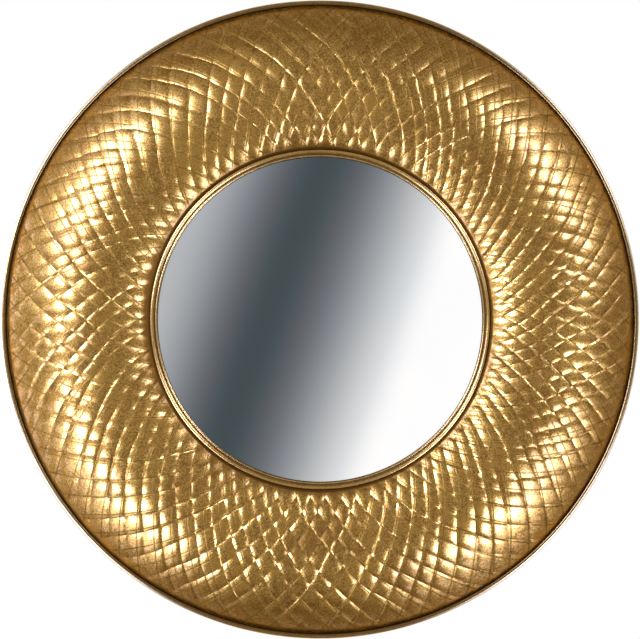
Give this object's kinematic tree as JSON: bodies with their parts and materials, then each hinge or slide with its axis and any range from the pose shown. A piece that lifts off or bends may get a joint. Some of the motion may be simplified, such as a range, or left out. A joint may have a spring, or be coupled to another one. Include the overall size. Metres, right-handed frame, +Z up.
{
  "type": "convex wall mirror",
  "caption": "Round convex wall mirror in a wide domed gold metal surround pressed with crossed spiral grooves; rod edges, glass cup, bracing stays and hinged hanging rings behind.",
  "frame": {"origin": "on the wall plane, behind the middle of the glass", "axes": "+Z up, +Y into the wall along the mirror's axis, +X to the right of a viewer in front. The glass faces -Y."},
  "size_m": [0.7998, 0.06, 0.7997],
  "materials": {
    "gold_leaf": "satin",
    "rim_leaf": "satin",
    "silvered_glass": "polished",
    "black_steel": "satin",
    "zinc_steel": "satin",
    "fibreboard": "matte",
    "gasket_rubber": "matte",
    "bumper_rubber": "matte"
  },
  "bodies": {
    "mirror_frame": {"frame_shell": "gold_leaf", "inner_bead_rod": "gold_leaf", "mirror_cup": "gold_leaf", "outer_rim_rod": "rim_leaf", "mirror_glass": "silvered_glass", "glass_gasket": "gasket_rubber", "backing_board": "fibreboard", "board_clip_1": "zinc_steel", "clip_screw_1": "zinc_steel", "board_clip_2": "zinc_steel", "clip_screw_2": "zinc_steel", "board_clip_3": "zinc_steel", "clip_screw_3": "zinc_steel", "board_clip_4": "zinc_steel", "clip_screw_4": "zinc_steel", "board_clip_5": "zinc_steel", "clip_screw_5": "zinc_steel", "board_clip_6": "zinc_steel", "clip_screw_6": "zinc_steel", "stay_top_right": "black_steel", "wall_bumper_top_right": "bumper_rubber", "stay_bottom_right": "black_steel", "wall_bumper_bottom_right": "bumper_rubber", "stay_bottom_left": "black_steel", "wall_bumper_bottom_left": "bumper_rubber", "stay_top_left": "black_steel", "wall_bumper_top_left": "bumper_rubber", "hanger_strap_right": "zinc_steel", "hanger_rivet_right": "zinc_steel", "hanger_strap_left": "zinc_steel", "hanger_rivet_left": "zinc_steel"},
    "left_ring": {"hanger_ring_left": "zinc_steel"},
    "right_ring": {"hanger_ring_right": "zinc_steel"}
  },
  "joints": [
    {"name": "left_ring_swing", "type": "hinge", "parent": "mirror_frame", "child": "left_ring", "pos_m": [-0.19092, -0.00888, 0.19842], "axis": [1, 0, 0], "range_deg": [0, 180]},
    {"name": "right_ring_swing", "type": "hinge", "parent": "mirror_frame", "child": "right_ring", "pos_m": [0.19092, -0.00888, 0.19842], "axis": [1, 0, 0], "range_deg": [0, 180]}
  ]
}
